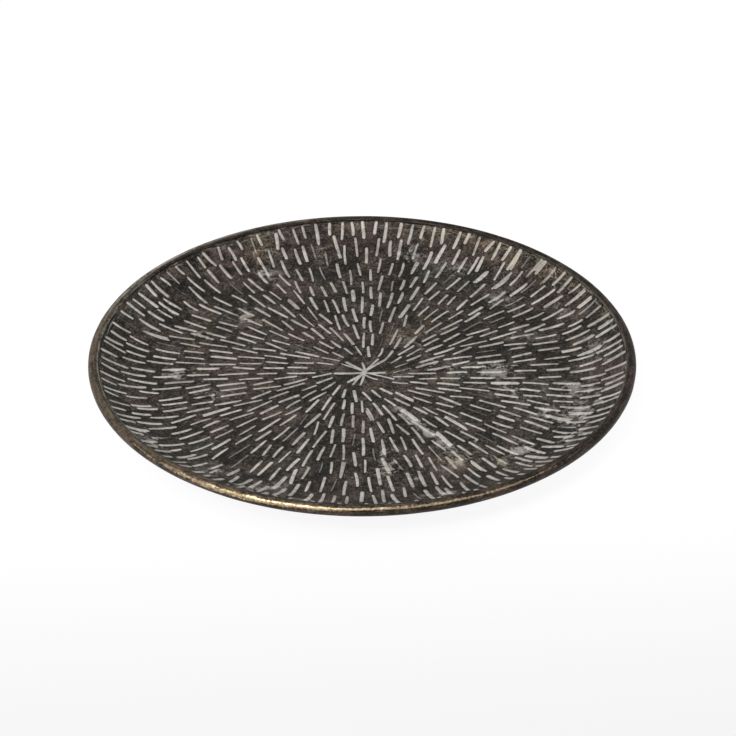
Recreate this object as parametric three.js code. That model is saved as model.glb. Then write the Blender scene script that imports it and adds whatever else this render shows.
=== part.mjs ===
// A round brass tray: a shallow dished pan of sheet metal, a round hoop closed over the pan's edge
// on a steel stiffening wire, and four felt pads under the base.
//
// Millimetres, +Z up. The origin is on the tray's axis, at the level that the pads stand on.
// Every ring is a closed section in the (radius, height) plane, turned about the axis.

import * as THREE from 'three';

// Driving dimensions.
const RIM_RADIUS = 175;
const FLOOR_RADIUS = 126.5;
const BEND_RADIUS = 68.5;
const WALL_SLOPE = THREE.MathUtils.degToRad(34);
const PAN_THICKNESS = 1.5;

const HOOP_RADIUS = 3.7;
const HOOP_THICKNESS = 0.7;
const UPPER_LIP_ANGLE = THREE.MathUtils.degToRad(18);
const WIRE_RADIUS = 1.8;
const FIT_GAP = 0.3;

const PAD_COUNT = 4;
const PAD_RADIUS = 7;
const PAD_THICKNESS = 2;
const PAD_CIRCLE_RADIUS = 100;
const FIRST_PAD_ANGLE = Math.PI / 4;

// How finely the round shapes are divided.
const RING_STEPS = 72;
const BEND_STEPS = 5;
const HOOP_STEP_ANGLE = Math.PI / 8;
const WIRE_STEPS = 8;
const PAD_STEPS = 24;

// Levels on the axis.
const PAN_UNDERSIDE = PAD_THICKNESS + FIT_GAP;
const PAN_TOP = PAN_UNDERSIDE + PAN_THICKNESS;

// Unit vectors of the straight wall's section: up its slope, and out of its upper surface.
const UP_SLOPE = new THREE.Vector2(Math.cos(WALL_SLOPE), Math.sin(WALL_SLOPE));
const OFF_WALL = new THREE.Vector2(-Math.sin(WALL_SLOPE), Math.cos(WALL_SLOPE));

const HOOP_INNER_RADIUS = HOOP_RADIUS - HOOP_THICKNESS;
// The pan's upper surface runs just under the hoop's upper lip.
const PAN_ABOVE_HOOP_CENTRE = HOOP_INNER_RADIUS - FIT_GAP;

/** The point on the pan's surface, `depth` below the upper one, where the bend becomes the wall. */
function bendEnd(depth) {
  const centre = new THREE.Vector2(FLOOR_RADIUS, PAN_TOP + BEND_RADIUS);
  return centre.addScaledVector(OFF_WALL, -(BEND_RADIUS + depth));
}

/** The middle of the hoop's section: its outside touches the rim's radius. */
function hoopCentre() {
  const start = bendEnd(PAN_ABOVE_HOOP_CENTRE);
  const wallLength = (RIM_RADIUS - HOOP_RADIUS - start.x) / UP_SLOPE.x;
  return start.addScaledVector(UP_SLOPE, wallLength);
}

/** Evenly stepped angles, both ends included. */
function evenAngles(fromAngle, toAngle, steps) {
  const angles = [];
  for (let i = 0; i <= steps; i += 1) {
    angles.push(fromAngle + ((toAngle - fromAngle) * i) / steps);
  }
  return angles;
}

/** Both end angles and every multiple of the step between them, so that a ring's extremes are kept. */
function alignedAngles(fromAngle, toAngle, step) {
  const angles = [fromAngle];
  for (let n = Math.ceil(fromAngle / step); n * step < toAngle; n += 1) {
    angles.push(n * step);
  }
  angles.push(toAngle);
  return angles;
}

/** Points of a circle in the section plane, one at each angle. */
function circlePoints(centre, radius, angles) {
  return angles.map((angle) => new THREE.Vector2(
    centre.x + radius * Math.cos(angle),
    centre.y + radius * Math.sin(angle),
  ));
}

/** Turns a section about the tray's axis. LatheGeometry turns about Y, so the ring is laid on Z. */
function turned(section, steps) {
  return new THREE.LatheGeometry(section, steps).rotateX(Math.PI / 2);
}

/** One face of the pan from its axis to its edge: flat floor, bend and straight wall. */
function panFace(depth) {
  const axis = new THREE.Vector2(0, PAN_TOP - depth);
  const bendCentre = new THREE.Vector2(FLOOR_RADIUS, PAN_TOP + BEND_RADIUS);
  const down = -Math.PI / 2;
  const bendAngles = evenAngles(down, down + WALL_SLOPE, BEND_STEPS);
  const bend = circlePoints(bendCentre, BEND_RADIUS + depth, bendAngles);
  const edge = hoopCentre().addScaledVector(OFF_WALL, PAN_ABOVE_HOOP_CENTRE - depth);
  return [axis, ...bend, edge];
}

function panGeometry() {
  const underside = panFace(PAN_THICKNESS);
  const upperside = panFace(0).reverse();
  return turned([...underside, ...upperside], RING_STEPS);
}

/** The hoop is a tube slit along its upper inner side, where the pan's edge goes in. */
function hoopGeometry() {
  const centre = hoopCentre();
  const panUndersideOffset = PAN_ABOVE_HOOP_CENTRE - PAN_THICKNESS;
  const lowerLipAngle = Math.asin((panUndersideOffset - FIT_GAP) / HOOP_RADIUS);
  const offWallAngle = WALL_SLOPE + Math.PI / 2;
  const downSlopeAngle = WALL_SLOPE + Math.PI;
  const upperLip = offWallAngle + UPPER_LIP_ANGLE;
  const lowerLip = downSlopeAngle - lowerLipAngle;
  const angles = alignedAngles(lowerLip, upperLip + 2 * Math.PI, HOOP_STEP_ANGLE);
  const outside = circlePoints(centre, HOOP_RADIUS, angles);
  const inside = circlePoints(centre, HOOP_INNER_RADIUS, angles).reverse();
  return turned([...outside, ...inside, outside[0].clone()], RING_STEPS);
}

/** The wire lies in the hoop, below the pan's edge and clear of the hoop's inside. */
function wireGeometry() {
  const panUndersideOffset = PAN_ABOVE_HOOP_CENTRE - PAN_THICKNESS;
  const wireDrop = WIRE_RADIUS + FIT_GAP - panUndersideOffset;
  const centre = hoopCentre().addScaledVector(OFF_WALL, -wireDrop);
  const angles = evenAngles(0, 2 * Math.PI, WIRE_STEPS);
  return turned(circlePoints(centre, WIRE_RADIUS, angles), RING_STEPS);
}

function padGeometry() {
  return new THREE.CylinderGeometry(PAD_RADIUS, PAD_RADIUS, PAD_THICKNESS, PAD_STEPS)
    .rotateX(Math.PI / 2);
}

/** Dark patinated brass sheet. */
function patinaMaterial() {
  return new THREE.MeshStandardMaterial({ color: 0x3f3b34, metalness: 0.85, roughness: 0.5 });
}

/** Brass rubbed bright along the rim. */
function wornBrassMaterial() {
  return new THREE.MeshStandardMaterial({ color: 0x8a6c3c, metalness: 1, roughness: 0.35 });
}

/** Drawn steel wire. */
function steelMaterial() {
  return new THREE.MeshStandardMaterial({ color: 0x8a8d90, metalness: 1, roughness: 0.4 });
}

/** Charcoal felt. */
function feltMaterial() {
  return new THREE.MeshStandardMaterial({ color: 0x2b2926, metalness: 0, roughness: 1 });
}

function namedMesh(name, geometry, material) {
  const mesh = new THREE.Mesh(geometry, material);
  mesh.name = name;
  return mesh;
}

/** The pads stand on a circle under the flat floor, evenly spaced. */
function feltPads() {
  const pads = new THREE.Group();
  for (let i = 0; i < PAD_COUNT; i += 1) {
    const angle = FIRST_PAD_ANGLE + (2 * Math.PI * i) / PAD_COUNT;
    const pad = namedMesh(`felt_pad_${i + 1}`, padGeometry(), feltMaterial());
    pad.position.set(
      PAD_CIRCLE_RADIUS * Math.cos(angle),
      PAD_CIRCLE_RADIUS * Math.sin(angle),
      PAD_THICKNESS / 2,
    );
    pads.add(pad);
  }
  return pads;
}

const tray = new THREE.Group();
tray.add(namedMesh('tray_pan', panGeometry(), patinaMaterial()));
tray.add(namedMesh('rim_hoop', hoopGeometry(), wornBrassMaterial()));
tray.add(namedMesh('rim_wire', wireGeometry(), steelMaterial()));
tray.add(feltPads());

export default tray;
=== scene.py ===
import math
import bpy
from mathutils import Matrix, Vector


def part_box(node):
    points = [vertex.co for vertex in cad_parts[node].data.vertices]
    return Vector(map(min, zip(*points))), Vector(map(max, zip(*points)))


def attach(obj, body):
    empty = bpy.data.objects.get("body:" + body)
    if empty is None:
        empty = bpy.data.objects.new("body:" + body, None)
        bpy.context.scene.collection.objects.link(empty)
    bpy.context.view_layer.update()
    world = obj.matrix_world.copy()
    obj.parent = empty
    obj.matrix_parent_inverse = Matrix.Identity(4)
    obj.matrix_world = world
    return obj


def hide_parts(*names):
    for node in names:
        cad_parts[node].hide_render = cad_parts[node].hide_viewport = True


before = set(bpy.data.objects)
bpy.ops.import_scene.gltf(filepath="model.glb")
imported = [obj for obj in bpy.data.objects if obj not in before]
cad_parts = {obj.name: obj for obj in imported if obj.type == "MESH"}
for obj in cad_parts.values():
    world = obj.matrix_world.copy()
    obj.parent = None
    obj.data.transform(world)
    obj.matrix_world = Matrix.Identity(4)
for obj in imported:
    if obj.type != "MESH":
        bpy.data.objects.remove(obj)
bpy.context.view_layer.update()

from types import SimpleNamespace

import bpy
import numpy as np
from mathutils import Vector
from mathutils.geometry import delaunay_2d_cdt

# The looks of a round brass tray: a pressed pan with raised radial strokes under a dark patina, a
# worn brass hoop round its edge, a steel wire inside the hoop, and felt pads below.
# Lengths are in metres unless a name says millimetres. Heights and radii come from the CAD frame.

MM = 0.001
SEED = 20


# -------- measures taken from the frame

def section_of(node):
    """Distinct (radius, height) points of a turned CAD node, in metres."""
    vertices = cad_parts[node].data.vertices
    points = {(round(math.hypot(v.co.x, v.co.y), 5), round(v.co.z, 5)) for v in vertices}
    return sorted(points)


class PanProfile:
    """The pan's upper surface in section: flat floor, round bend, straight wall."""

    def __init__(self):
        section = section_of("tray_pan")
        axis_heights = [z for r, z in section if r < MM]
        self.floor_top = max(axis_heights)
        self.thickness = self.floor_top - min(axis_heights)
        self.floor_radius = max(r for r, z in section if abs(z - self.floor_top) < 0.02 * MM)
        edge_top = max(section, key=lambda point: point[1])
        below_edge = [p for p in section if p[0] < edge_top[0] - MM and p[1] > self.floor_top]
        bend_end = max(below_edge, key=lambda point: point[1])
        rise = edge_top[1] - bend_end[1]
        run = edge_top[0] - bend_end[0]
        self.slope = math.atan2(rise, run)
        self.edge_radius = edge_top[0]
        self.bend_end = bend_end[0]
        self.bend_radius = (self.bend_end - self.floor_radius) / math.sin(self.slope)

    def surface(self, radius):
        """Heights and slopes of the upper surface at an array of distances from the axis."""
        along = np.clip(radius - self.floor_radius, 0, self.bend_end - self.floor_radius)
        tilt = np.arcsin(along / self.bend_radius)
        height = self.floor_top + self.bend_radius * (1 - np.cos(tilt))
        height += np.clip(radius - self.bend_end, 0, None) * math.tan(self.slope)
        return height, tilt


class HoopSection:
    """The hoop's section: a slit tube, open from its lower lip to its upper lip."""

    def __init__(self):
        low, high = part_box("rim_hoop")
        self.outer = (high.z - low.z) / 2
        self.rim_radius = high.x
        self.centre_radius = self.rim_radius - self.outer
        self.centre_height = (high.z + low.z) / 2
        reach = []
        angles = []
        for radius, height in section_of("rim_hoop"):
            across = radius - self.centre_radius
            up = height - self.centre_height
            reach.append(math.hypot(across, up))
            angles.append(math.atan2(up, across) % (2 * math.pi))
        self.inner = min(reach)
        angles = sorted(angles)
        gaps = [after - before for before, after in zip(angles, angles[1:])]
        widest = gaps.index(max(gaps))
        self.upper_lip = angles[widest]
        self.lower_lip = angles[widest + 1]


PAN = PanProfile()
HOOP = HoopSection()


# -------- the pattern of strokes

SECTORS = 8
SECTOR = 2 * math.pi / SECTORS
RELIEF_HEIGHT = 0.6 * MM
STROKE_WIDTH = 1.62 * MM
STROKE_BEVEL = 0.65 * MM
# Radii and lengths in the pattern are fractions of the rim radius.
PATTERN_RADIUS = HOOP.rim_radius

# Lanes of strokes run outwards from the star. Neighbouring lanes are half a period apart, like bricks.
LANE_SPACING = 0.0327
LANE_PERIOD = 0.12
FIRST_ROW = 0.152
LAST_ROW = 0.832
# Strokes then push each other apart, within this many times the lanes' spacing and period. The last
# row gives way outwards by the slack at most.
PUSH_REACH = 1.13
PUSH_SHARE = 0.3
LAST_ROW_SLACK = 0.022

# The last row runs up to the hoop.
EDGE_ROW_COUNT = 16
EDGE_ROW_OUTER = 0.9615
EDGE_ROW_INNER = (0.874, 0.898)
# The rows inside it crowd up to it, as if it lay this far outside its inner ends.
EDGE_ROW_ROOM = 0.058
# The rows lie this much further out at the back.
BACK_DRIFT = 0.022

# Strokes lean one way near the centre and stand straight further out: radius and degrees.
LEAN_RADII = (0.10, 0.22, 0.36, 0.52, 0.66, 1.0)
LEAN_DEGREES = (13.0, 11.0, 6.0, 2.2, 0.6, 0.8)
LENGTH_RADII = (0.15, 0.30, 0.52, 0.70, 0.85)
LENGTHS = (0.072, 0.096, 0.093, 0.086, 0.084)

# Breadths, in stroke widths. On the wall they differ from the far side to the near side.
BREADTH_RADII = (0.4, 0.74, 0.84)
FLOOR_BREADTHS = (0.9, 0.98)
WALL_BREADTHS = (1.06, 1.25)
EDGE_ROW_BREADTHS = (1.12, 1.38)
TWIN_BREADTH = 0.7

# Strokes closer together than this are shortened, a step at a time, down to the shortest length.
LEAST_GAP = 3.0 * MM
SHORTENING = 0.93
SHORTEST = 0.04
# The share of strokes that were struck twice, and how much more of them on the far right.
TWIN_SHARE = 0.06
TWIN_SHARE_RIGHT = 0.1
# The strokes of the star meet a little off the tray's centre.
STAR_CENTRE = np.array([1.0, 0.4]) * MM


class Stroke:
    """One raised stroke: a rounded bar in plan, slightly bowed, wider at one end."""

    def __init__(self, inner, outer, width, bow, taper, point, height, rub):
        self.inner = np.array(inner)
        self.outer = np.array(outer)
        self.width = width
        self.bow = bow
        self.taper = taper
        self.point = point
        self.height = height
        self.rub = rub
        self.measure()

    def measure(self):
        span = self.outer - self.inner
        self.length = float(np.hypot(*span))
        self.along = span / self.length
        self.across = np.array([-self.along[1], self.along[0]])
        self.middle = (self.inner + self.outer) / 2

    def shorten(self, share):
        self.inner = self.middle + (self.inner - self.middle) * share
        self.outer = self.middle + (self.outer - self.middle) * share
        self.measure()

    def half_width(self, s):
        """Half the top's width, s metres along from the middle. The ends are narrower."""
        share = 2 * s / self.length
        return self.width / 2 * (1.06 + 0.4 * self.taper * share - self.point * share ** 4)

    def bow_at(self, s):
        return self.bow * (1 - (2 * s / self.length) ** 2)

    def place(self, s, c):
        """Plan points s along and c across the stroke."""
        return self.middle + np.outer(s, self.along) + np.outer(c, self.across)

    def outline(self, grow, side_steps, end_steps):
        """A closed loop round the stroke, `grow` outside its flat top."""
        half = self.length / 2
        s = []
        c = []
        for end in (1, -1):
            radius = self.half_width(end * half) + grow
            for i in range(end_steps + 1):
                angle = math.pi * (i / end_steps - 0.5)
                s.append(end * (half + radius * math.cos(angle)))
                c.append(end * radius * math.sin(angle))
            for i in range(1, side_steps):
                place = end * half * (1 - 2 * i / side_steps)
                s.append(place)
                c.append(end * (self.half_width(place) + grow))
        s, c = np.array(s), np.array(c)
        return self.place(s, c + self.bow_at(np.clip(s, -half, half)))

    def crest(self, steps):
        """Points along the middle of the top."""
        s = np.linspace(-self.length / 2, self.length / 2, steps)
        return self.place(s, self.bow_at(s))

    def outside(self, points):
        """Distance of plan points outside the flat top; negative on it."""
        offset = points - self.middle
        half = self.length / 2
        s = offset @ self.along
        inside = np.clip(s, -half, half)
        c = offset @ self.across - self.bow_at(inside)
        return np.hypot(s - inside, c) - self.half_width(inside)


def on_circle(bearing, radius):
    """The plan point at a bearing, in radians, and a distance from the axis."""
    return np.array([radius * math.cos(bearing), radius * math.sin(bearing)])


def settle(bearings, radii, fixed, rounds=160):
    """Pushes one sector's strokes apart until they are evenly packed. Its neighbours are copies."""
    free = np.where(fixed, 0.0, 1.0)
    reach_across = PUSH_REACH * LANE_SPACING * 2 / math.sqrt(3)
    reach_along = PUSH_REACH * LANE_PERIOD
    for _ in range(rounds):
        push_across = np.zeros(len(bearings))
        push_along = np.zeros(len(bearings))
        for turn in (-SECTOR, 0, SECTOR):
            side = bearings[:, None] - (bearings[None, :] + turn)
            across = side * (radii[:, None] + radii[None, :]) / (2 * reach_across)
            along = (radii[:, None] - radii[None, :]) / reach_along
            distance = np.hypot(across, along)
            distance[distance < 1e-6] = 9
            force = np.clip(1 - distance, 0, None) / distance
            push_across += (force * across).sum(1)
            push_along += (force * along).sum(1)
        bearings = bearings + PUSH_SHARE * free * push_across * reach_across / radii
        radii = radii + PUSH_SHARE * free * push_along * reach_along
        radii = np.where(fixed, radii, np.clip(radii, FIRST_ROW, LAST_ROW + LAST_ROW_SLACK))
    return bearings, radii


def row_places(rng):
    """Middles of one sector's strokes between the star and the edge row."""
    places = []
    for i in range(EDGE_ROW_COUNT):
        places.append((SECTOR * i / EDGE_ROW_COUNT, EDGE_ROW_INNER[i % 2] + EDGE_ROW_ROOM, True))
    rows = round((LAST_ROW - FIRST_ROW) / (LANE_PERIOD / 2))
    for row in range(rows + 1):
        radius = FIRST_ROW + row * LANE_PERIOD / 2
        count = round(SECTOR * radius / (2 * LANE_SPACING))
        for i in range(count):
            bearing = SECTOR * (i + 0.5 * (row % 2) + rng.uniform(-0.1, 0.1)) / count
            places.append((bearing, radius + rng.uniform(-0.006, 0.006), False))
    bearings, radii, fixed = np.array(places).T
    bearings, radii = settle(bearings, radii, fixed)
    return bearings[fixed == 0], radii[fixed == 0]


def struck(inner, outer, rng, breadth):
    """A stroke between two plan points given in metres, with the unevenness of hand work."""
    weak = rng.random() < 0.07
    return Stroke(
        inner,
        outer,
        breadth * STROKE_WIDTH * rng.uniform(0.78, 1.22) * (0.75 if weak else 1.0),
        rng.normal(0, 0.18) * MM,
        rng.uniform(-0.34, 0.38),
        rng.uniform(0.0, 0.14) + 0.3 * (rng.random() < 0.1),
        rng.uniform(0.55, 0.8) if weak else rng.uniform(0.84, 1.0),
        rng.uniform(0.4, 0.7) if weak else rng.uniform(0.78, 1.0),
    )


def star_arms(rng):
    """The uneven strokes that meet, not quite, at the centre. Some were struck twice."""
    arms = []
    for k in range(SECTORS):
        bearing = SECTOR * (k + rng.uniform(-0.25, 0.25))
        blows = 2 if k % 2 else 1
        for blow in range(blows):
            start = on_circle(rng.uniform(0, 2 * math.pi), rng.uniform(0, 0.011) * PATTERN_RADIUS)
            heading = bearing + blow * rng.uniform(0.16, 0.34)
            end = on_circle(heading, rng.uniform(0.066, 0.122) * PATTERN_RADIUS)
            arm = struck(start + STAR_CENTRE, end, rng, rng.uniform(0.75, 1.15))
            arm.bow = rng.normal(0, 0.6) * MM
            arm.rub = rng.uniform(0.75, 1.0)
            arms.append(arm)
    return arms


def drift(bearing, radius):
    """The rows lie a little further out at the back: the work of an uneven hand."""
    return BACK_DRIFT * max(0.0, math.sin(bearing)) * min(max((radius - 0.5) / 0.35, 0.0), 1.0)


def wall_breadth(bearing, far, near):
    """Breadth of a stroke on the wall: those on the near side are the fattest."""
    return far + (near - far) * (1 - math.sin(bearing)) / 2


def lane_strokes(turn, places, rng):
    """One sector's strokes between the star and the edge row."""
    strokes = []
    for bearing, radius, size, lean in places:
        here = turn + bearing + math.radians(rng.normal(0, 0.3))
        centre = PATTERN_RADIUS * on_circle(here, radius + drift(here, radius) + rng.normal(0, 0.003))
        length = np.interp(radius, LENGTH_RADII, LENGTHS) * size * rng.uniform(0.93, 1.07)
        tilt = np.interp(radius, LEAN_RADII, LEAN_DEGREES) + lean + rng.normal(0, 2.0)
        step = on_circle(here + math.radians(tilt), PATTERN_RADIUS * length / 2)
        breadths = (*FLOOR_BREADTHS, wall_breadth(here, *WALL_BREADTHS))
        breadth = np.interp(radius, BREADTH_RADII, breadths)
        strokes.append(struck(centre - step, centre + step, rng, breadth))
    return strokes


def edge_strokes(turn, rng):
    """One sector's strokes in the last row, which runs up to the hoop."""
    strokes = []
    for i in range(EDGE_ROW_COUNT):
        here = turn + SECTOR * (i + rng.uniform(-0.16, 0.16)) / EDGE_ROW_COUNT
        inner = EDGE_ROW_INNER[i % 2] + drift(here, 1.0) + rng.uniform(-0.014, 0.012)
        outer = EDGE_ROW_OUTER + min(0.0, 0.01 * math.cos(here)) + rng.uniform(-0.004, 0.0)
        lean = math.radians(rng.normal(0, 0.4))
        start = on_circle(here, PATTERN_RADIUS * inner)
        end = on_circle(here + lean, PATTERN_RADIUS * outer)
        strokes.append(struck(start, end, rng, wall_breadth(here, *EDGE_ROW_BREADTHS)))
    return strokes


def gaps_between(strokes, samples=5):
    """Least distance from each stroke's centre line to every other's."""
    share = np.linspace(0, 1, samples)[:, None]
    starts = np.array([stroke.inner for stroke in strokes])
    spans = np.array([stroke.outer - stroke.inner for stroke in strokes])
    least = np.full((len(strokes), len(strokes)), 9.0)
    for where in share[:, 0]:
        points = starts + where * spans
        offset = points[:, None, :] - starts[None, :, :]
        along = (offset * spans[None]).sum(2) / (spans ** 2).sum(1)[None]
        nearest = np.clip(along, 0, 1)[:, :, None] * spans[None]
        least = np.minimum(least, np.hypot(*np.moveaxis(offset - nearest, 2, 0)))
    np.fill_diagonal(least, 9.0)
    return np.minimum(least, least.T)


def keep_apart(strokes, rounds=10):
    """Shortens strokes that run into one another."""
    for _ in range(rounds):
        crowded = gaps_between(strokes).min(1) < LEAST_GAP
        for stroke, close in zip(strokes, crowded):
            if close and stroke.length > SHORTEST * PATTERN_RADIUS:
                stroke.shorten(SHORTENING)


def twins(strokes, rng):
    """A second, slightly missed blow beside some strokes, more of them on the right."""
    made = []
    for stroke in strokes:
        share = TWIN_SHARE + TWIN_SHARE_RIGHT * max(0.0, stroke.middle[0] / PATTERN_RADIUS)
        if rng.random() > share:
            continue
        side = rng.choice((-1, 1)) * rng.uniform(0.5, 0.85) * stroke.width
        slip = rng.normal(0, 0.8) * MM
        shift = side * stroke.across + slip * stroke.along
        swing = rng.normal(0, 0.35) * MM * stroke.across
        start = stroke.inner + shift - swing
        end = stroke.outer + shift + swing
        twin = struck(start, end, rng, TWIN_BREADTH)
        twin.shorten(rng.uniform(0.7, 1.0))
        made.append(twin)
    return made


def all_strokes():
    """One sector's strokes turned to all eight places, each copy a little different."""
    rng = np.random.default_rng(SEED)
    bearings, radii = row_places(rng)
    sizes = rng.uniform(0.72, 1.16, len(bearings))
    leans = rng.normal(0, 4.5, len(bearings))
    strokes = []
    for k in range(SECTORS):
        turn = k * SECTOR + math.radians(rng.uniform(-0.8, 0.8))
        strokes += lane_strokes(turn, zip(bearings, radii, sizes, leans), rng)
        strokes += edge_strokes(turn, rng)
    keep_apart(strokes)
    return star_arms(rng) + strokes + twins(strokes, rng)


# -------- meshes

def mesh_object(name, vertices, faces):
    """A smooth-shaded mesh in the scene."""
    mesh = bpy.data.meshes.new(name)
    mesh.from_pydata([tuple(v) for v in vertices], [], faces)
    mesh.update()
    mesh.polygons.foreach_set("use_smooth", [True] * len(mesh.polygons))
    piece = bpy.data.objects.new(name, mesh)
    bpy.context.collection.objects.link(piece)
    return piece


# A stroke has no effect on points further than this from the square round it.
STROKE_REACH = 4 * MM


def field_points(strokes, rng, pitch=4.6 * MM, clearance=1.1 * MM):
    """Points spread over the plain metal between the strokes."""
    points = [np.zeros((1, 2))]
    rings = int(PAN.edge_radius / pitch)
    for ring in range(1, rings):
        radius = ring * pitch
        count = max(6, int(2 * math.pi * radius / pitch))
        bearing = 2 * math.pi * (np.arange(count) + rng.uniform(-0.25, 0.25, count)) / count
        reach = radius + rng.uniform(-0.2, 0.2, count) * pitch
        points.append(np.stack([reach * np.cos(bearing), reach * np.sin(bearing)], 1))
    points = np.concatenate(points)
    free = np.ones(len(points), bool)
    for stroke in strokes:
        near = np.abs(points - stroke.middle).max(1) < stroke.length / 2 + STROKE_REACH
        index = np.flatnonzero(near & free)
        free[index] = stroke.outside(points[index]) > STROKE_BEVEL + clearance
    return points[free]


def edge_rings(steps=360):
    """Circles at the pan's edge and just inside it, where the sheet passes under the hoop's lip."""
    bearing = 2 * math.pi * np.arange(steps) / steps
    circle = np.stack([np.cos(bearing), np.sin(bearing)], 1)
    return circle * PAN.edge_radius, circle * (PAN.edge_radius - 1.1 * MM)


def plan_mesh(strokes):
    """A flat triangulation that follows the foot, the top edge and the crest of every stroke."""
    rng = np.random.default_rng(SEED + 1)
    points = []
    edges = []

    def add(loop, closed):
        first = sum(len(p) for p in points)
        points.append(loop)
        last = first + len(loop) - 1
        edges.extend((i, i + 1) for i in range(first, last))
        if closed:
            edges.append((last, first))

    rim, inner_rim = edge_rings()
    add(rim, True)
    add(inner_rim, True)
    for stroke in strokes:
        add(stroke.outline(STROKE_BEVEL, 4, 4), True)
        add(stroke.outline(0.0, 4, 4), True)
        add(stroke.crest(4), False)
    points.append(field_points(strokes, rng))
    flat = np.concatenate(points) / MM
    made = delaunay_2d_cdt([Vector(p) for p in flat], edges, [], 0, 1e-3)
    return np.array([tuple(v) for v in made[0]]) * MM, made[2]


def relief_over(plan, strokes):
    """How far each plan point stands up, 0 to 1, and how hard the stroke there is rubbed."""
    relief = np.zeros(len(plan))
    rub = np.zeros(len(plan))
    for stroke in strokes:
        near = np.abs(plan - stroke.middle).max(1) < stroke.length / 2 + STROKE_REACH
        index = np.flatnonzero(near)
        outside = stroke.outside(plan[index])
        side = np.clip(1 - outside / STROKE_BEVEL, 0, 1)
        crown = np.clip(-outside / (0.5 * stroke.width), 0, 1)
        height = stroke.height * np.where(outside > 0, 0.76 * side, 0.76 + 0.24 * crown)
        higher = height > relief[index]
        relief[index[higher]] = height[higher]
        claims = outside < 2.2 * STROKE_BEVEL
        rub[index[claims]] = np.maximum(rub[index[claims]], stroke.rub)
    return relief, rub


def soft_waves(plan, rng, amount, lengths=(0.021, 0.034, 0.055)):
    """A smooth unevenness from a few seeded waves, about -1 to 1 times the amount."""
    total = np.zeros(len(plan))
    waves = 5 * len(lengths)
    for i in range(waves):
        heading = rng.uniform(0, 2 * math.pi)
        wave_length = lengths[i % len(lengths)]
        phase = rng.uniform(0, 2 * math.pi)
        along = plan @ np.array([math.cos(heading), math.sin(heading)])
        total += np.sin(2 * math.pi * along / wave_length + phase)
    return amount * total / math.sqrt(waves)


# Marks of age on the upper face: bearing in degrees, radius as a fraction of the rim radius, then
# half length along the radius and half width across it in millimetres, and strength.
PALE_SCUFFS = [
    (2, 0.50, 16, 12, 0.9), (-12, 0.56, 13, 8, 0.7), (-30, 0.86, 9, 16, 0.7), (-22, 0.72, 12, 9, 0.9),
    (-60, 0.30, 16, 3, 0.9), (-59, 0.42, 16, 3.5, 0.9), (-57, 0.55, 13, 5, 0.7), (-80, 0.60, 10, 8, 0.6),
    (-99, 0.42, 6, 5, 0.7), (-112, 0.79, 9, 6, 0.8), (-128, 0.83, 8, 10, 0.6), (-147, 0.90, 9, 15, 0.9),
    (180, 0.68, 12, 8, 0.9), (196, 0.57, 9, 8, 0.7), (136, 0.60, 11, 9, 0.7), (118, 0.78, 12, 8, 0.8),
    (76, 0.84, 8, 11, 0.9), (64, 0.80, 9, 8, 0.7), (45, 0.74, 12, 8, 0.6), (90, 0.47, 9, 10, 0.4),
    (24, 0.66, 12, 7, 0.5), (-70, 0.86, 7, 12, 0.8), (-86, 0.90, 6, 12, 0.8), (150, 0.83, 9, 9, 0.6),
    (-8, 0.78, 14, 9, 0.9), (-18, 0.85, 11, 14, 0.75), (8, 0.86, 10, 12, 0.6), (-42, 0.76, 10, 9, 0.9),
    (100, 0.86, 8, 12, 0.5), (30, 0.84, 9, 12, 0.5), (8, 0.27, 17, 10, 0.7), (42, 0.26, 12, 8, 0.5),
    (-83, 0.64, 5, 6, 0.7), (-82, 0.52, 5, 3, 0.9), (-59, 0.66, 5, 9, 1.0), (-50, 0.76, 5, 5, 0.9),
    (-48, 0.60, 4, 4, 0.9), (-75, 0.70, 4, 4, 0.8), (156, 0.66, 6, 5, 0.9), (139, 0.58, 7, 3, 0.6),
    (-104, 0.88, 7, 10, 0.9), (-118, 0.88, 7, 9, 0.8),
]
TAN_MARKS = [
    (-59, 0.66, 6, 11, 0.9), (-83, 0.64, 6, 7, 0.5), (-50, 0.76, 6, 7, 0.8), (117, 0.90, 10, 6, 1.0),
    (75, 0.94, 6, 22, 0.7), (48, 0.93, 8, 24, 0.8), (128, 0.94, 6, 12, 0.5), (150, 0.70, 9, 8, 0.6),
    (53, 0.42, 12, 11, 0.9), (60, 0.28, 9, 8, 0.6), (160, 0.64, 9, 9, 0.8), (136, 0.56, 8, 7, 0.8),
    (-62, 0.62, 8, 6, 0.5), (-50, 0.66, 6, 5, 0.5), (113, 0.93, 7, 7, 1.0), (60, 0.95, 6, 26, 0.9),
    (35, 0.94, 6, 24, 0.8), (-8, 0.30, 8, 5, 0.7), (95, 0.94, 5, 14, 0.5), (20, 0.95, 5, 12, 0.6),
    (3, 0.11, 5, 4, 0.8), (232, 0.95, 5, 20, 0.6), (262, 0.95, 5, 24, 0.5), (-160, 0.35, 7, 7, 0.4),
]
PURPLE_MARKS = [
    (88, 0.91, 12, 20, 0.7), (107, 0.90, 12, 16, 0.8), (66, 0.90, 12, 16, 0.7), (125, 0.86, 12, 14, 0.8),
    (44, 0.88, 12, 16, 0.6), (-66, 0.70, 12, 10, 0.7), (-98, 0.80, 10, 12, 0.6), (-8, 0.94, 9, 18, 0.6),
    (130, 0.33, 16, 13, 0.9), (100, 0.27, 10, 9, 0.8), (70, 0.24, 9, 8, 0.6), (175, 0.48, 15, 13, 0.8),
    (-165, 0.45, 13, 12, 0.7), (-140, 0.44, 12, 9, 0.7), (-93, 0.36, 12, 8, 0.7), (115, 0.66, 14, 12, 0.8),
    (12, 0.20, 8, 7, 0.6), (215, 0.62, 10, 12, 0.6), (-52, 0.85, 8, 14, 0.7), (30, 0.86, 10, 12, 0.5),
    (150, 0.16, 9, 8, 0.7), (0, 0.90, 9, 14, 0.6),
]


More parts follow.
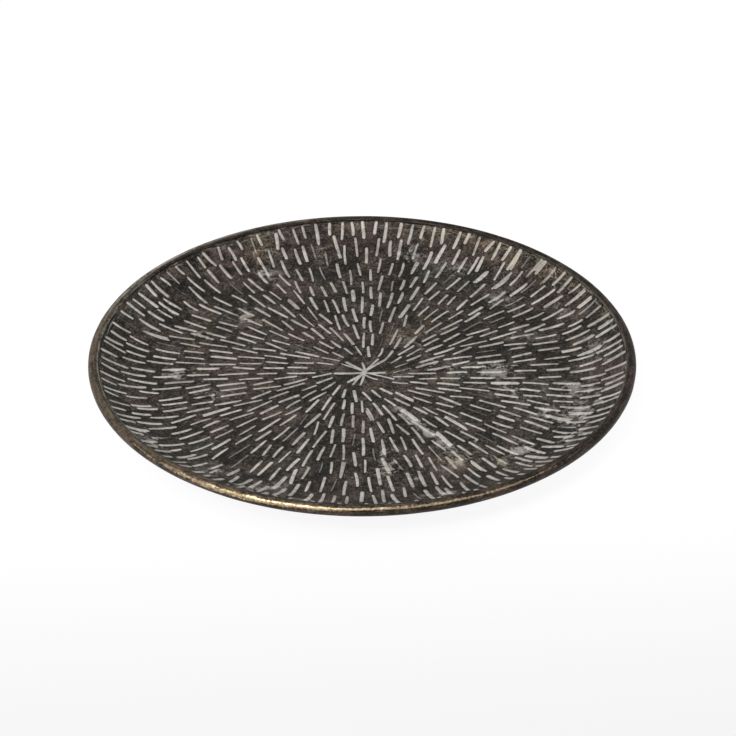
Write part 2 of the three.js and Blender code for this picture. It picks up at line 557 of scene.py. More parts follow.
def marked(plan, marks):
    """How strongly each plan point is marked, 0 to 1."""
    total = np.zeros(len(plan))
    for degrees, radius, half_length, half_width, strength in marks:
        outward = on_circle(math.radians(degrees), 1.0)
        offset = plan - outward * radius * PATTERN_RADIUS
        along = offset @ outward / (half_length * MM)
        across = offset @ np.array([-outward[1], outward[0]]) / (half_width * MM)
        total += strength * np.exp(-(along ** 2 + across ** 2) / 1.4)
    return np.clip(total, 0, 1)


def lifted(plan, depth):
    """Puts plan points at a depth below the pan's upper surface, measured square to it."""
    radius = np.hypot(plan[:, 0], plan[:, 1])
    height, tilt = PAN.surface(radius)
    outward = plan / np.maximum(radius, 1e-9)[:, None]
    flat = plan + outward * (depth * np.sin(tilt))[:, None]
    return np.column_stack([flat, height - depth * np.cos(tilt)])


# The radius of the upper face and of the underside's quarters in the image, and the gap at its edge.
UV_TOP_RADIUS = 0.49
UV_QUARTER_RADIUS = 0.19
UV_MARGIN = 0.004


def sheet_uv(piece, plan, faces):
    """The upper face fills the middle of the image; the underside's quarters fill its corners."""
    half = len(plan)
    disc_scale = UV_TOP_RADIUS / PAN.edge_radius
    corner_scale = UV_QUARTER_RADIUS / PAN.edge_radius
    mesh = piece.data
    layer = mesh.uv_layers.new(name="OFBake")
    count = len(mesh.loops)
    corner = np.empty(count, np.int32)
    mesh.loops.foreach_get("vertex_index", corner)
    where = np.concatenate([plan, plan])
    uv = 0.5 + where[corner] * disc_scale
    polygon_of_loop = np.repeat(np.arange(len(mesh.polygons)), [p.loop_total for p in mesh.polygons])
    middle = np.array([where[list(f)].mean(0) for f in faces])
    under = np.array([min(f) >= half for f in faces])[polygon_of_loop]
    side = np.sign(middle)[polygon_of_loop]
    side[side == 0] = 1
    # A quarter of the underside sits in each corner of the image with its point in the corner.
    quarter = 0.5 + side * (0.5 - UV_MARGIN) - where[corner] * corner_scale
    uv[under] = quarter[under]
    layer.data.foreach_set("uv", uv.ravel().astype(np.float32))


WAVE_HEIGHT = 0.035 * MM
HOLLOW_DEPTH = 0.4 * MM
# Relief and waves fade out over the second distance, from the first one inside the pan's edge.
COVERED_BY_LIP = 1.6 * MM
COVERED_FADE = 0.5 * MM
# The strokes on the near side are painted a little duller, as painted shade: place from front to back, and
# share.
NEAR_PLACES = (-0.85, -0.45)
NEAR_SHADED_RUB = (0.9, 1.0)


def make_pan(strokes):
    """The pressed sheet: strokes raised on top, and shallow hollows behind them."""
    rng = np.random.default_rng(SEED + 2)
    plan, triangles = plan_mesh(strokes)
    relief, rub = relief_over(plan, strokes)
    # Less rubbed brightness towards the front is painted shade.
    rub = rub * np.interp(plan[:, 1] / PATTERN_RADIUS, NEAR_PLACES, NEAR_SHADED_RUB)
    radius = np.hypot(plan[:, 0], plan[:, 1])
    under_lip = np.clip((radius - (PAN.edge_radius - COVERED_BY_LIP)) / COVERED_FADE, 0, 1)
    waves = soft_waves(plan, rng, WAVE_HEIGHT) * (1 - under_lip)
    field_depth = RELIEF_HEIGHT - np.abs(waves) * (1 - relief)
    top_depth = np.clip(field_depth * (1 - relief), 0, None) * (1 - under_lip)
    under_depth = PAN.thickness - HOLLOW_DEPTH * relief * (1 - under_lip)
    top = lifted(plan, top_depth)
    under = lifted(plan, under_depth)
    count = len(plan)
    faces = [tuple(t) for t in triangles]
    faces += [tuple(count + i for i in reversed(t)) for t in triangles]
    faces += rim_band(faces[:len(triangles)], count)
    piece = mesh_object("pan_sheet", np.concatenate([top, under]), faces)
    add_attribute(piece, "relief", np.concatenate([relief, -relief]))
    add_attribute(piece, "rub", np.concatenate([rub, np.zeros(count)]))
    for name, marks in (("scuffed", PALE_SCUFFS), ("tanned", TAN_MARKS), ("purpled", PURPLE_MARKS)):
        add_attribute(piece, name, np.concatenate([marked(plan, marks), np.zeros(count)]))
    sheet_uv(piece, plan, faces)
    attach(piece, "root")
    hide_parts("tray_pan")
    return piece


def rim_band(triangles, offset):
    """Faces that close the sheet's edge, from its open upper edges down to the lower ones."""
    seen = dict.fromkeys(edge for a, b, c in triangles for edge in ((a, b), (b, c), (c, a)))
    open_edges = [edge for edge in seen if (edge[1], edge[0]) not in seen]
    return [(end, start, start + offset, end + offset) for start, end in open_edges]


def add_attribute(piece, name, values):
    """A value at each vertex, for the materials to read."""
    attribute = piece.data.attributes.new(name, "FLOAT", "POINT")
    attribute.data.foreach_set("value", np.asarray(values, np.float32))


def turned_ring(name, section, steps, wobble):
    """A closed section of (radius, height) points turned about the axis, its radii shifted by wobble."""
    vertices = []
    faces = []
    count = len(section)
    for i in range(steps):
        bearing = 2 * math.pi * i / steps
        for j, (radius, height) in enumerate(section):
            shift = wobble(bearing, j)
            vertices.append((
                (radius + shift) * math.cos(bearing),
                (radius + shift) * math.sin(bearing),
                height,
            ))
    for i in range(steps):
        after = (i + 1) % steps
        for j in range(count):
            k = (j + 1) % count
            faces.append((i * count + j, after * count + j, after * count + k, i * count + k))
    return mesh_object(name, vertices, faces)


# Where the hoop is rubbed bright, in gold placed and shaped to carry a painted highlight on its front:
# bearing in degrees, height round its section in degrees, half width of the bright band in degrees, and
# strength. Its front is worn most and carries the painted highlight.
POLISH_AND_HIGHLIGHT_BEARINGS = (205, 222, 236, 248, 262, 272, 288, 300, 310, 322)
POLISH_AND_HIGHLIGHT_HEIGHTS = (48, 38, 30, 28, 38, 47, 46, 44, 46, 50)
POLISH_AND_HIGHLIGHT_WIDTHS = (8, 14, 24, 26, 17, 12, 13, 12, 9, 7)
POLISH_AND_HIGHLIGHT_STRENGTHS = (0.0, 0.5, 0.8, 0.9, 1.0, 0.95, 0.95, 0.9, 0.45, 0.0)

# How far the rest of the hoop has turned brown, with painted shade that leaves its right side darker than
# its left: bearing in degrees, and 0 for black to 1 for olive.
BROWN_AND_SHADE_BEARINGS = (0, 45, 90, 135, 170, 200, 250, 280, 305, 330, 360)
BROWN_AND_SHADE_SHARES = (0.1, 0.15, 0.15, 0.4, 0.68, 0.6, 0.5, 0.35, 0.1, 0.05, 0.1)
# The underside and both sides of the section are darker than its crest, partly patina and partly painted
# shade: height round it, and share.
DARKER_HEIGHTS = (0, 50, 95, 115, 300, 360)
DARKER_SHARES = (-0.3, 0.0, 0.0, -0.45, -0.5, -0.3)

# A painted highlight along the hoop's crest on the far left, in the pale colour of bare metal: height and
# half width round its section, in degrees.
CREST_HIGHLIGHT_HEIGHT = 84
CREST_HIGHLIGHT_WIDTH = 17
CREST_HIGHLIGHT_STRENGTH = 0.75
CREST_HIGHLIGHT_BEARINGS = (90, 104, 118, 130, 152, 172)
CREST_HIGHLIGHT_SHARES = (0.0, 0.5, 0.5, 1.0, 1.0, 0.0)

# A painted highlight on the hoop's inner lip, over metal rubbed bare, on the left and a little on the
# right.
LIP_HIGHLIGHT_BEARINGS = (0, 30, 60, 140, 165, 215, 240, 320, 360)
LIP_HIGHLIGHT_SHARES = (0.35, 0.2, 0.0, 0.0, 0.8, 0.9, 0.1, 0.1, 0.35)


def hoop_wear(piece):
    """Polishing shaped as a painted highlight, share of brown with painted shade, and a painted highlight
    over bare metal on the lip and on the crest, at each vertex of the hoop.
    """
    place = np.empty(3 * len(piece.data.vertices))
    piece.data.vertices.foreach_get("co", place)
    x, y, z = place.reshape(-1, 3).T
    bearing = np.degrees(np.arctan2(y, x)) % 360
    height = np.degrees(np.arctan2(z - HOOP.centre_height, np.hypot(x, y) - HOOP.centre_radius))
    # The gold band follows a painted highlight on the hoop's front.
    middle = np.interp(bearing, POLISH_AND_HIGHLIGHT_BEARINGS, POLISH_AND_HIGHLIGHT_HEIGHTS)
    width = np.interp(bearing, POLISH_AND_HIGHLIGHT_BEARINGS, POLISH_AND_HIGHLIGHT_WIDTHS)
    strength = np.interp(bearing, POLISH_AND_HIGHLIGHT_BEARINGS, POLISH_AND_HIGHLIGHT_STRENGTHS)
    polish_and_highlight = strength * np.exp(-((height - middle) / width) ** 2)
    darker = np.interp(height % 360, DARKER_HEIGHTS, DARKER_SHARES)
    # The brown share carries painted shade: darker on the right, lighter on the left.
    browned_and_shaded = np.interp(bearing, BROWN_AND_SHADE_BEARINGS, BROWN_AND_SHADE_SHARES) + darker
    lip = np.interp(bearing, LIP_HIGHLIGHT_BEARINGS, LIP_HIGHLIGHT_SHARES)
    # A painted highlight along the crest on the far left.
    crest = CREST_HIGHLIGHT_STRENGTH * np.exp(-((height - CREST_HIGHLIGHT_HEIGHT) / CREST_HIGHLIGHT_WIDTH) ** 2)
    crest = crest * np.interp(bearing, CREST_HIGHLIGHT_BEARINGS, CREST_HIGHLIGHT_SHARES)
    return polish_and_highlight, browned_and_shaded, lip, crest


HOOP_OUTER_STEPS = 22
HOOP_INNER_STEPS = 12
LIP_STEPS = 4
HOOP_RING_STEPS = 360
DENT_COUNT = 26
RIPPLE_HEIGHT = 0.008 * MM
# How much of the lip's painted highlight and bareness each section point has: the last outer one but one,
# then the lip.
BESIDE_LIP = 0.4
LIP_POINTS = 5


def hoop_section():
    """(radius, height) points: the outside from lip to lip, the upper lip, the inside, the lower lip."""
    lip = (HOOP.outer - HOOP.inner) / 2
    mid = (HOOP.outer + HOOP.inner) / 2
    lip_angle = lip / mid
    start = HOOP.lower_lip + lip_angle
    end = HOOP.upper_lip + 2 * math.pi - lip_angle
    span = end - start

    def at(reach, angle):
        radius = HOOP.centre_radius + reach * math.cos(angle)
        height = HOOP.centre_height + reach * math.sin(angle)
        return radius, height

    def rounded_lip(angle, side):
        points = []
        for i in range(1, LIP_STEPS):
            swing = math.pi * i / LIP_STEPS
            reach = mid + side * lip * math.cos(swing)
            points.append(at(reach, angle + side * lip_angle * math.sin(swing)))
        return points

    section = [at(HOOP.outer, start + span * i / HOOP_OUTER_STEPS) for i in range(HOOP_OUTER_STEPS + 1)]
    section += rounded_lip(end, 1)
    section += [at(HOOP.inner, end - span * i / HOOP_INNER_STEPS) for i in range(HOOP_INNER_STEPS + 1)]
    section += rounded_lip(start, -1)
    return section


def hoop_wobble(rng):
    """A function of bearing and section point: how far dents and ripples move the hoop's outside."""
    turn = 2 * math.pi
    dents = [
        (rng.uniform(0, turn), rng.uniform(0.02, 0.06), rng.uniform(0.02, 0.09) * MM)
        for _ in range(DENT_COUNT)
    ]
    phases = rng.uniform(0, turn, 6)

    def wobble(bearing, place):
        if place > HOOP_OUTER_STEPS:
            return 0.0
        shift = 0.0
        for where, width, depth in dents:
            away = (bearing - where + math.pi) % turn - math.pi
            shift -= depth * math.exp(-((away / width) ** 2))
        for k, phase in enumerate(phases):
            shift -= RIPPLE_HEIGHT * (1 + math.sin((11 + 7 * k) * bearing + phase))
        return shift

    return wobble


def make_hoop():
    """The slit tube round the rim, with rounded lips and the slight dents of use."""
    section = hoop_section()
    wobble = hoop_wobble(np.random.default_rng(SEED + 3))
    piece = turned_ring("hoop_tube", section, HOOP_RING_STEPS, wobble)
    polish_and_highlight, browned_and_shaded, bare_and_highlight, crest = hoop_wear(piece)
    on_lip = np.zeros(len(section))
    on_lip[HOOP_OUTER_STEPS - 1] = BESIDE_LIP
    on_lip[HOOP_OUTER_STEPS:HOOP_OUTER_STEPS + LIP_POINTS] = 1.0
    # The lip and the crest carry a painted highlight in a pale colour.
    lip_and_crest_highlight = np.maximum(crest, bare_and_highlight * np.tile(on_lip, HOOP_RING_STEPS))
    for name, values in (("polish_and_highlight", polish_and_highlight), ("browned_and_shaded", browned_and_shaded), ("lip", lip_and_crest_highlight)):
        add_attribute(piece, name, values)
    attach(piece, "root")
    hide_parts("rim_hoop")
    return piece


PAD_STEPS = 72
PAD_SOFTNESS = 0.35 * MM
PAD_RAGGEDNESS = 0.006
GLUE_SHARE = 0.92


def pad_section(bottom, felt_top, glue_top, softness):
    """(share of the radius, height) from the middle of the underside round to the top of the glue."""
    corner = ((1 - softness, 0), (1 - 0.3 * softness, 0.3 * PAD_SOFTNESS), (1, PAD_SOFTNESS))
    section = [(reach, bottom) for reach in (0.0, 0.5, 0.85)]
    section += [(reach, bottom + up) for reach, up in corner]
    section += [(1, (bottom + felt_top) / 2)]
    section += [(reach, felt_top - down) for reach, down in reversed(corner)]
    return section + [(GLUE_SHARE + 0.01, felt_top), (GLUE_SHARE, glue_top), (0.0, glue_top)]


def disc_faces(rings, steps):
    """Faces over rings of vertices that follow a middle one, and end at a last one."""
    faces = []
    last = 1 + rings * steps
    for i in range(steps):
        after = (i + 1) % steps
        faces.append((0, 1 + after, 1 + i))
        for ring in range(rings - 1):
            a = 1 + ring * steps
            b = a + steps
            faces.append((a + i, a + after, b + after, b + i))
        a = 1 + (rings - 1) * steps
        faces.append((a + i, a + after, last))
    return faces


def make_pad(node):
    """A punched felt disc with a soft, slightly ragged edge, on a thin film of adhesive."""
    rng = np.random.default_rng(SEED + 10 + int(node[-1]))
    low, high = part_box(node)
    centre = (low + high) / 2
    radius = (high.x - low.x) / 2
    pan_underside = PAN.floor_top - PAN.thickness
    section = pad_section(low.z, high.z, pan_underside, PAD_SOFTNESS / radius)
    ragged = 1 - np.abs(rng.normal(0, PAD_RAGGEDNESS, PAD_STEPS))
    vertices = [(centre.x, centre.y, section[0][1])]
    for reach, height in section[1:-1]:
        for i in range(PAD_STEPS):
            bearing = 2 * math.pi * i / PAD_STEPS
            out = reach * radius * (ragged[i] if reach > 0.9 else 1)
            x = centre.x + out * math.cos(bearing)
            y = centre.y + out * math.sin(bearing)
            vertices.append((x, y, height))
    vertices.append((centre.x, centre.y, section[-1][1]))
    faces = disc_faces(len(section) - 2, PAD_STEPS)
    piece = mesh_object(node.replace("felt_pad", "felt_disc"), vertices, faces)
    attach(piece, "root")
    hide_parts(node)
    return piece


# -------- materials

class Shader:
    """A short way to write a node tree: each call adds a node and returns its output."""

    def __init__(self, name):
        self.material = bpy.data.materials.new(name)
        self.material.use_nodes = True
        self.tree = self.material.node_tree
        self.surface = next(n for n in self.tree.nodes if n.type == "BSDF_PRINCIPLED")
        self.place = self.node("ShaderNodeTexCoord").outputs["Object"]

    def node(self, kind, inputs=None, **settings):
        made = self.tree.nodes.new(kind)
        for key, value in settings.items():
            setattr(made, key, value)
        for key, value in (inputs or {}).items():
            self.feed(made.inputs[key], value)
        return made

    def feed(self, socket, value):
        if isinstance(value, bpy.types.NodeSocket):
            self.tree.links.new(value, socket)
        elif value is not None:
            socket.default_value = value

    def set(self, **values):
        """Sets or links the surface's own sockets, named with _ for a space."""
        for key, value in values.items():
            self.feed(self.surface.inputs[key.replace("_", " ")], value)

    def math(self, operation, a, b=None):
        return self.node("ShaderNodeMath", {0: a, 1: b}, operation=operation).outputs[0]

    def plus(self, a, b):
        return self.math("ADD", a, b)

    def times(self, a, b):
        return self.math("MULTIPLY", a, b)

    def most(self, a, b):
        return self.math("MAXIMUM", a, b)

    def vary(self, value, noise, amount):
        """The value, moved by the amount times how far the noise is from its middle."""
        return self.plus(value, self.times(self.math("SUBTRACT", noise, 0.5), amount))

    def xyz(self):
        """The three object coordinates, each by itself."""
        return self.node("ShaderNodeSeparateXYZ", {0: self.place}).outputs

    def attribute(self, name):
        return self.node("ShaderNodeAttribute", attribute_name=name).outputs["Fac"]

    def noise(self, scale, detail=4.0, roughness=0.55, place=None, distortion=0.0):
        inputs = {"Vector": place or self.place, "Scale": scale, "Detail": detail}
        inputs |= {"Roughness": roughness, "Distortion": distortion}
        return self.node("ShaderNodeTexNoise", inputs).outputs["Fac"]

    def stretched(self, lengths, turn_degrees, shift=(0.0, 0.0, 0.0)):
        """Coordinates that make a texture longer or shorter each way, then turn it about the axis."""
        turn = (0, 0, math.radians(turn_degrees))
        inputs = {"Vector": self.place, "Location": shift, "Rotation": turn, "Scale": lengths}
        return self.node("ShaderNodeMapping", inputs, vector_type="TEXTURE").outputs[0]

    def lengthwise(self):
        """Coordinates that draw a texture out into lines round the tray's axis."""
        x, y, z = self.xyz()
        reach = self.math("SQRT", self.plus(self.times(x, x), self.times(y, y)))
        bearing = self.math("ARCTAN2", y, x)
        inputs = {0: self.times(reach, 34.0), 1: self.times(z, 34.0), 2: self.times(bearing, 0.4)}
        return self.node("ShaderNodeCombineXYZ", inputs).outputs[0]

    def step(self, value, low, high):
        """0 below low, 1 above high, smooth between."""
        inputs = {"Value": value, "From Min": low, "From Max": high}
        return self.node("ShaderNodeMapRange", inputs, interpolation_type="SMOOTHSTEP").outputs["Result"]

    def between(self, value, low, high):
        """Stretches 0..1 to low..high."""
        inputs = {"Value": value, "To Min": low, "To Max": high}
        return self.node("ShaderNodeMapRange", inputs).outputs["Result"]

    def mix(self, amount, a, b):
        return self.node("ShaderNodeMix", {0: amount, 6: a, 7: b}, data_type="RGBA").outputs[2]

    def bump(self, height, distance, strength=1.0, normal=None):
        inputs = {"Strength": strength, "Distance": distance, "Height": height, "Normal": normal}
        return self.node("ShaderNodeBump", inputs).outputs[0]


def srgb(red, green, blue):
    """A linear colour from screen values of 0 to 255."""
    def linear(value):
        v = value / 255
        return v / 12.92 if v <= 0.04045 else ((v + 0.055) / 1.055) ** 2.4
    return (linear(red), linear(green), linear(blue), 1.0)


def hairlines(shader, turns, low, high):
    """Fine short scratches in several directions, 0 to 1."""
    total = None
    for i, turn in enumerate(turns):
        place = shader.stretched((1.0, 0.09, 1.0), turn, (0.37 * i, 0.11 * i, 0))
        line = shader.step(shader.noise(110.0, 1.0, 0.4, place), low, high)
        total = line if total is None else shader.most(total, line)
    return total


def tangles(shader, scale, thickness):
    """Thin wandering scratches, 0 to 1, broken into short lengths."""
    wander = shader.node("ShaderNodeTexNoise", {"Vector": shader.place, "Scale": 75.0})
    inputs = {0: wander.outputs["Color"], 1: (0.03, 0.03, 0.0), 2: shader.place}
    moved = shader.node("ShaderNodeVectorMath", inputs, operation="MULTIPLY_ADD")
    inputs = {"Vector": moved.outputs[0], "Scale": scale}
    cells = shader.node("ShaderNodeTexVoronoi", inputs, feature="DISTANCE_TO_EDGE")
    line = shader.step(cells.outputs["Distance"], thickness, 0.0)
    return shader.times(line, shader.step(shader.noise(130.0, 2.0), 0.5, 0.56))


# The patina's colours, as they look on a screen.
BLACK = srgb(27, 25, 22)
PITCH = srgb(14, 13, 12)
# This dark colour is patina with painted shade round the strokes' feet.
FOOT_PATINA_AND_SHADE = srgb(24, 22, 20)
BROWN = srgb(60, 48, 41)
UMBER = srgb(92, 76, 63)
PURPLE = srgb(76, 60, 57)
GREEN = srgb(36, 40, 35)
GREY = srgb(142, 136, 126)
TAN = srgb(134, 113, 86)
SCUFFED = srgb(184, 178, 172)
CREAM = srgb(182, 173, 150)
# The rubbed metal's colours.
PALE = srgb(231, 226, 218)
DULL = srgb(176, 170, 160)
ROSY = srgb(208, 190, 185)
GILT = srgb(196, 170, 124)


def patina_maps(s):
    """What the patina varies with: the mesh's own values, and noises from coarse to fine."""
    m = SimpleNamespace(
        relief=s.attribute("relief"),
        scuff=s.attribute("scuffed"),
        broad=s.noise(26.0, 5.0, 0.6, distortion=0.6),
        patch=s.noise(58.0, 6.0, 0.62, distortion=0.4),
        cloud=s.noise(150.0, 6.0, 0.68, distortion=0.8),
        blotch=s.noise(330.0, 4.0, 0.6, distortion=0.5),
        grain=s.noise(760.0, 4.0, 0.7),
        speck=s.noise(1500.0, 3.0, 0.65),
    )
    m.fine = s.plus(s.times(m.grain, 0.6), s.times(m.speck, 0.4))
    m.ragged = s.vary(s.vary(m.cloud, m.fine, 0.25), m.blotch, 0.5)
    spotted = s.plus(m.cloud, s.times(s.plus(m.fine, m.blotch), 0.4))
    m.tanned = s.times(s.step(spotted, 0.8, 1.1), s.attribute("tanned"))
    return m


def patina_ground(s, m):
    """The dark metal between the strokes: black and brown, with green, purple, tan and pale patches, and
    painted shade round the strokes and in the hollows.
    """
    mottle = s.plus(s.times(m.patch, 0.65), s.times(m.broad, 0.35))
    mottled = s.step(s.vary(mottle, m.blotch, 0.4), 0.46, 0.58)
    ground = s.mix(mottled, BLACK, BROWN)
    ground = s.mix(s.step(m.broad, 0.56, 0.66), ground, GREEN)
    purpled = s.times(s.attribute("purpled"), s.step(m.cloud, 0.34, 0.54))
    ground = s.mix(s.times(purpled, 0.9), ground, PURPLE)
    ground = s.mix(s.times(s.step(m.blotch, 0.52, 0.66), 0.35), ground, UMBER)
    ground = s.mix(s.times(s.step(m.cloud, 0.48, 0.38), 0.6), ground, PITCH)
    lightened = s.times(s.step(m.fine, 0.51, 0.63), s.between(mottled, 0.34, 0.76))
    ground = s.mix(lightened, ground, GREY)
    ground = s.mix(s.times(s.step(m.fine, 0.49, 0.4), 0.78), ground, PITCH)
    ground = s.mix(s.times(m.tanned, 0.5), ground, TAN)
    hazed = s.plus(s.times(m.patch, 0.4), s.times(m.cloud, 0.6))
    haze = s.times(s.step(hazed, 0.5, 0.64), s.between(m.scuff, 0.06, 0.5))
    ground = s.mix(haze, ground, SCUFFED)
    # It is darker round the foot of each stroke, where patina stays and shade is painted, and in the
    # hollows underneath, where shade is painted.
    ground = s.mix(s.times(s.step(m.relief, 0.02, 0.3), 0.7), ground, FOOT_PATINA_AND_SHADE)
    return s.mix(s.times(s.step(m.relief, -0.1, -0.5), 0.6), ground, PITCH)


def patina_marks(s, m):
    """Smears, hairlines, wandering scratches, and rings beside the hoop's lip, 0 to 1."""
    smear = s.vary(m.scuff, m.ragged, 2.2)
    smear = s.times(s.step(smear, 0.64, 1.05), s.step(m.scuff, 0.05, 0.4))
    lines = s.times(hairlines(s, (38, 99, 152), 0.7, 0.78), s.step(m.patch, 0.48, 0.62))
    scratched = s.most(s.step(m.scuff, 0.1, 0.7), s.attribute("tanned"))
    tangle = s.times(tangles(s, 60.0, 0.036), scratched)
    beside_lip = PAN.surface(0.93 * HOOP.rim_radius)[0]
    by_lip = s.step(s.xyz()[2], beside_lip, HOOP.centre_height)
    drawn = s.noise(34.0, 4.0, 0.65, s.lengthwise())
    ringed = s.times(s.step(drawn, 0.55, 0.64), by_lip)
    marks = s.most(s.times(smear, 0.52), s.times(lines, 0.22))
    marks = s.most(marks, s.times(tangle, 0.6))
    return s.most(marks, s.times(ringed, 0.5))


def patina_bareness(s, m):
    """How bare the metal is rubbed, 0 to 1: on the strokes' tops, and in crusts where it is scuffed."""
    crust = s.times(m.scuff, s.math("SUBTRACT", m.ragged, 0.38))
    worn = s.plus(s.vary(m.relief, m.fine, 0.8), s.times(crust, 2.0))
    bare = s.step(worn, 0.42, 0.8)
    bare = s.times(bare, s.between(s.step(m.cloud, 0.34, 0.6), 0.52, 0.96))
    bare = s.times(bare, s.between(s.step(m.broad, 0.38, 0.56), 0.84, 1.0))
    return s.times(bare, s.most(s.attribute("rub"), m.scuff))


def patina_material():
    """Blackened brass, mottled brown, with the strokes rubbed back to pale metal."""
    s = Shader("patina_brass_sheet")
    m = patina_maps(s)
    marked_colour = s.mix(s.attribute("tanned"), SCUFFED, CREAM)
    ground = s.mix(patina_marks(s, m), patina_ground(s, m), marked_colour)
    metal = s.mix(s.times(s.step(m.grain, 0.5, 0.64), 0.7), PALE, DULL)
    metal = s.mix(s.times(s.attribute("purpled"), 0.5), metal, ROSY)
    metal = s.mix(s.times(m.tanned, 0.5), metal, GILT)
    bare = patina_bareness(s, m)
    rough = s.plus(s.times(m.grain, 0.6), s.times(bare, 0.2))
    s.set(
        Base_Color=s.mix(bare, ground, metal),
        Metallic=s.times(bare, 0.5),
        Roughness=s.between(rough, 0.42, 0.72),
        Specular_IOR_Level=0.16,
        Normal=s.bump(m.speck, 0.05 * MM, 0.5, s.bump(m.grain, 0.2 * MM, 0.7)),
    )
    return s.material


def worn_brass_material():
    """Aged brass: brown and mottled, darker on the right as painted shade, with drawn lines, gold where it
    is polished and shaped as a painted highlight on the front, and pale painted highlight lines on the lip
    and crest.
    """
    tarnish_and_shade = srgb(33, 28, 24)
    olive = srgb(106, 94, 75)
    plum = srgb(72, 54, 52)
    line = srgb(152, 141, 120)
    fleck = srgb(124, 108, 86)
    pit = srgb(28, 24, 21)
    dull_gold = srgb(178, 152, 112)
    highlight_gold = srgb(228, 208, 176)
    bare_and_highlight = srgb(214, 207, 192)

    s = Shader("worn_brass_hoop")
    drawn = s.noise(34.0, 4.0, 0.65, s.lengthwise())
    grain = s.noise(620.0, 5.0, 0.7)
    blotch = s.noise(430.0, 4.0, 0.65)
    patch = s.noise(90.0, 5.0, 0.65)
    uneven = s.vary(s.plus(s.times(grain, 0.35), s.times(drawn, 0.65)), blotch, 0.3)

    # Gold polishing, placed and shaped to carry a painted highlight on the front of the hoop.
    polish_and_highlight = s.vary(s.attribute("polish_and_highlight"), uneven, 2.8)
    polish_and_highlight = s.times(s.step(polish_and_highlight, 0.2, 0.95), s.step(s.attribute("polish_and_highlight"), 0.02, 0.3))
    # Brown where the hoop has turned brown, and darker on the right side as painted shade.
    browned_and_shaded = s.vary(s.vary(s.attribute("browned_and_shaded"), patch, 1.4), blotch, 1.2)
    lined = s.between(s.attribute("browned_and_shaded"), 0.2, 0.6)
    dark = s.mix(s.step(browned_and_shaded, 0.1, 1.0), tarnish_and_shade, olive)
    dark = s.mix(s.times(s.step(patch, 0.5, 0.6), 0.65), dark, plum)
    dark = s.mix(s.times(s.step(drawn, 0.54, 0.64), lined), dark, line)
    dark = s.mix(s.times(s.step(grain, 0.5, 0.6), lined), dark, fleck)
    dark = s.mix(s.times(s.step(uneven, 0.49, 0.4), 0.6), dark, pit)
    # The brighter, cream gold is a painted highlight.
    gold = s.mix(s.step(grain, 0.35, 0.7), dull_gold, highlight_gold)
    # The pale line on the lip and crest is a painted highlight over bare metal.
    lip = s.times(s.attribute("lip"), s.step(uneven, 0.38, 0.54))
    s.set(
        Base_Color=s.mix(s.times(lip, 0.85), s.mix(polish_and_highlight, dark, gold), bare_and_highlight),
        Metallic=s.between(polish_and_highlight, 0.4, 1.0),
        Roughness=s.between(polish_and_highlight, 0.52, 0.38),
        Specular_IOR_Level=0.25,
        Normal=s.bump(drawn, 0.06 * MM, 0.5, s.bump(grain, 0.16 * MM, 0.7)),
    )
    return s.material


def steel_material():
    """Drawn steel wire: fine lines along it and a few brown specks."""
    s = Shader("drawn_steel_wire")
    lines = s.noise(900.0, 4.0, 0.6, s.stretched((5.0, 5.0, 0.17), 0))
    specks = s.step(s.noise(240.0, 5.0, 0.6), 0.62, 0.7)
    base = s.mix(lines, srgb(150, 150, 148), srgb(188, 188, 186))
    s.set(
        Base_Color=s.mix(s.times(specks, 0.6), base, srgb(104, 76, 54)),
        Metallic=s.between(specks, 1.0, 0.2),
        Roughness=s.between(lines, 0.28, 0.45),
        Normal=s.bump(lines, 0.04 * MM, 0.5),
    )
    return s.material


def felt_material():
    """Pressed wool felt: tangled fibres with lighter flecks."""
    s = Shader("charcoal_felt")
    fibres = s.noise(1500.0, 6.0, 0.75, s.stretched((1, 0.42, 1), 35), 2.0)
    crossed = s.noise(1500.0, 6.0, 0.75, s.stretched((0.42, 1, 1), 70, (1, 0, 0)), 2.0)
    tangle = s.most(fibres, crossed)
    base = s.mix(s.step(tangle, 0.35, 0.75), srgb(34, 33, 32), srgb(74, 72, 69))
    s.set(
        Base_Color=s.mix(s.step(s.noise(2600.0, 2.0), 0.68, 0.74), base, srgb(120, 117, 112)),
        Roughness=0.96,
        Sheen_Weight=0.35,
        Sheen_Roughness=0.6,
        Normal=s.bump(tangle, 0.25 * MM, 0.8),
    )
    return s.material


def dress(piece, material):
    piece.data.materials.clear()
    piece.data.materials.append(material)


# -------- stage, lights and camera

# Degrees above the floor, distance in rim radii, and millimetres on a 36 mm sensor.
CAMERA_ELEVATION = 32.78
CAMERA_DISTANCE = 11.93
SENSOR_WIDTH = 36
FOCAL_LENGTH = 159.1
# The camera looks this far right of and above the middle of the floor, in rim radii.
LOOK_RIGHT = 0.0212
LOOK_UP = 0.0173

# The floor glows softly, so that only a faint shadow stays under the rim, and a little less towards
# the camera than behind the tray.
FLOOR_ALBEDO = 0.1
FLOOR_GLOW = (0.804, 0.944)
FADE_FROM = -2.3 * HOOP.rim_radius
FADE_TO = -0.2 * HOOP.rim_radius
FLOOR_SIZE = 9.0
FLOOR_STEPS = 24

# Strength of the surroundings as the camera sees them, and as they light the surfaces.
WORLD_SEEN = 1.0
WORLD_FILL = 0.42


def make_floor():
    """A wide pale floor, bright enough to fade into the white background."""
    steps = FLOOR_STEPS
    places = [FLOOR_SIZE * (i / steps - 0.5) for i in range(steps + 1)]
    vertices = [(x, y, 0.0) for y in places for x in places]
    corners = [row * (steps + 1) + column for row in range(steps) for column in range(steps)]
    faces = [(a, a + 1, a + steps + 2, a + steps + 1) for a in corners]
    floor = mesh_object("studio_floor", vertices, faces)
    s = Shader("pale_floor")
    towards_back = s.xyz()[1]
    s.set(
        Base_Color=(FLOOR_ALBEDO, FLOOR_ALBEDO, FLOOR_ALBEDO, 1),
        Roughness=0.9,
        Specular_IOR_Level=0.0,
        Emission_Color=(1, 1, 1, 1),
        Emission_Strength=s.between(s.step(towards_back, FADE_FROM, FADE_TO), *FLOOR_GLOW),
    )
    dress(floor, s.material)


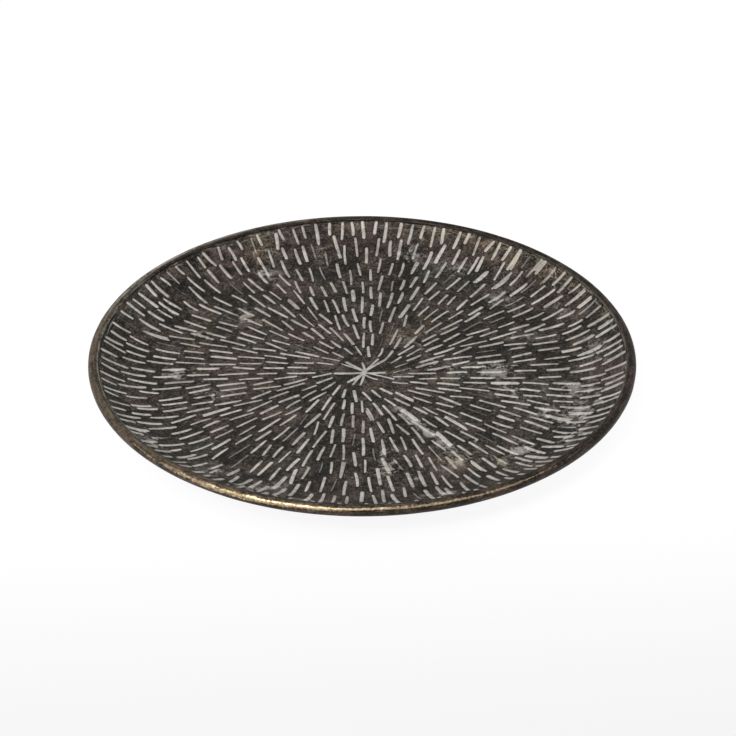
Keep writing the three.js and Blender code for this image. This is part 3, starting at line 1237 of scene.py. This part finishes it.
def make_world():
    """The white surroundings."""
    world = bpy.data.worlds.new("studio")
    bpy.context.scene.world = world
    world.use_nodes = True
    nodes = world.node_tree.nodes
    links = world.node_tree.links
    nodes.clear()
    seen = nodes.new("ShaderNodeBackground")
    fill = nodes.new("ShaderNodeBackground")
    for background, strength in ((seen, WORLD_SEEN), (fill, WORLD_FILL)):
        background.inputs["Color"].default_value = (1, 1, 1, 1)
        background.inputs["Strength"].default_value = strength
    path = nodes.new("ShaderNodeLightPath")
    mixed = nodes.new("ShaderNodeMixShader")
    out = nodes.new("ShaderNodeOutputWorld")
    links.new(path.outputs["Is Camera Ray"], mixed.inputs[0])
    links.new(fill.outputs[0], mixed.inputs[1])
    links.new(seen.outputs[0], mixed.inputs[2])
    links.new(mixed.outputs[0], out.inputs[0])


def area_light(name, azimuth, elevation, distance, size, power):
    """A square soft box aimed at the tray. Azimuth 0 is in front, 90 to the right."""
    a = math.radians(azimuth)
    e = math.radians(elevation)
    away = Vector((math.sin(a) * math.cos(e), -math.cos(a) * math.cos(e), math.sin(e)))
    data = bpy.data.lights.new(name, "AREA")
    data.shape = "SQUARE"
    data.size = size
    data.energy = power
    light = bpy.data.objects.new(name, data)
    light.location = away * distance
    light.rotation_mode = "QUATERNION"
    light.rotation_quaternion = (-away).to_track_quat("-Z", "Y")
    bpy.context.collection.objects.link(light)


def make_camera():
    """A long lens from the photograph's viewing angle."""
    radius = HOOP.rim_radius
    e = math.radians(CAMERA_ELEVATION)
    back = Vector((0, -math.cos(e), math.sin(e)))
    up = Vector((0, math.sin(e), math.cos(e)))
    right = Vector((1, 0, 0))
    data = bpy.data.cameras.new("camera")
    data.sensor_width = SENSOR_WIDTH
    data.lens = FOCAL_LENGTH
    data.clip_start = 0.05
    data.clip_end = 50
    camera = bpy.data.objects.new("camera", data)
    floor_middle = Vector((0, 0, PAN.floor_top))
    camera.location = floor_middle + back * CAMERA_DISTANCE * radius
    target = floor_middle + right * LOOK_RIGHT * radius + up * LOOK_UP * radius
    camera.rotation_mode = "QUATERNION"
    camera.rotation_quaternion = (target - camera.location).to_track_quat("-Z", "Y")
    bpy.context.collection.objects.link(camera)
    bpy.context.scene.camera = camera


# -------- the scene

bpy.context.scene.view_settings.view_transform = "Standard"

make_camera()
make_world()
area_light("key", azimuth=-42, elevation=44, distance=1.6, size=0.6, power=13.0)
area_light("top", azimuth=10, elevation=80, distance=1.6, size=1.2, power=7.0)
make_floor()

pan_sheet = make_pan(all_strokes())
dress(pan_sheet, patina_material())
dress(make_hoop(), worn_brass_material())
dress(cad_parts["rim_wire"], steel_material())
felt = felt_material()
for pad_node in sorted(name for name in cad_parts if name.startswith("felt_pad_")):
    dress(make_pad(pad_node), felt)
